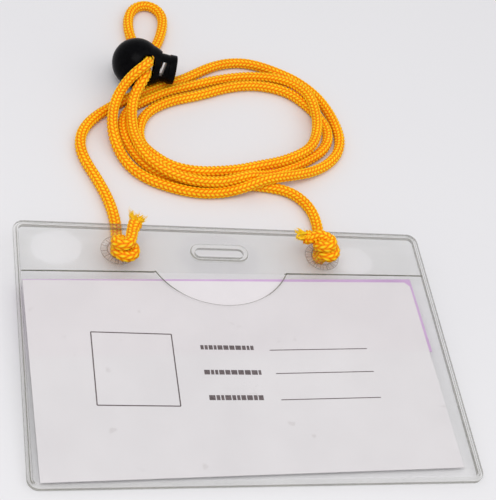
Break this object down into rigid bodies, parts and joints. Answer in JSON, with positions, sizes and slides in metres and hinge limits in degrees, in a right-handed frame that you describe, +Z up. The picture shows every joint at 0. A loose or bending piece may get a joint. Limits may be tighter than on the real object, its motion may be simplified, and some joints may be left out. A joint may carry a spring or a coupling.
{
  "type": "lanyard badge holder",
  "caption": "Clear vinyl horizontal card pocket with a strap slot and two eyelets, on a braided neck cord with a ball cord lock, coiled flat.",
  "frame": {"origin": "under the middle of the card pocket's outline, on the surface that it lies on", "axes": "+X along the pocket's long side, to the card's right, +Y towards the header and the cord, +Z up out of the card"},
  "size_m": [0.118, 0.1852, 0.0161],
  "materials": {
    "clear_vinyl": "clear soft vinyl sheet",
    "clear_plastic": "clear moulded plastic",
    "card_paper": "matt printed card",
    "purple_paper": "matt coloured paper",
    "orange_braid": "braided polyester, slight sheen",
    "black_plastic": "moulded, polished",
    "spring_steel": "drawn wire"
  },
  "bodies": {
    "holder": {"back_sheet": "clear_vinyl", "header_sheet": "clear_vinyl", "front_sheet": "clear_vinyl", "border_weld": "clear_vinyl", "slot_rim": "clear_vinyl", "eyelet_left": "clear_plastic", "eyelet_right": "clear_plastic", "eyelet_washer_left": "clear_plastic", "eyelet_washer_right": "clear_plastic", "knot_left": "orange_braid", "knot_right": "orange_braid", "tail_left": "orange_braid", "tail_right": "orange_braid", "cord_left_lead": "orange_braid", "cord_right_lead": "orange_braid", "cord_coil": "orange_braid", "cord_strand_a": "orange_braid", "cord_strand_b": "orange_braid", "cord_bight": "orange_braid"},
    "insert": {"insert_card": "card_paper", "backing_slip": "purple_paper"},
    "lock": {"lock_barrel": "black_plastic", "lock_spring": "spring_steel"},
    "plunger": {"lock_plunger": "black_plastic"}
  },
  "joints": [
    {"name": "insert_slide", "type": "slide", "parent": "holder", "child": "insert", "axis": [0, 0.9989, 0.0471], "range_m": [0, 0.003]},
    {"name": "lock_slide", "type": "slide", "parent": "holder", "child": "lock", "axis": [-0.1572, -0.8238, 0.5446], "range_m": [0, 0.002]},
    {"name": "plunger_press", "type": "slide", "parent": "lock", "child": "plunger", "axis": [-0.9823, 0.1874, 0], "range_m": [0, 0.002], "stiffness_N_per_m": 350, "springref_m": -0.002, "deforming": ["lock_spring"]}
  ]
}
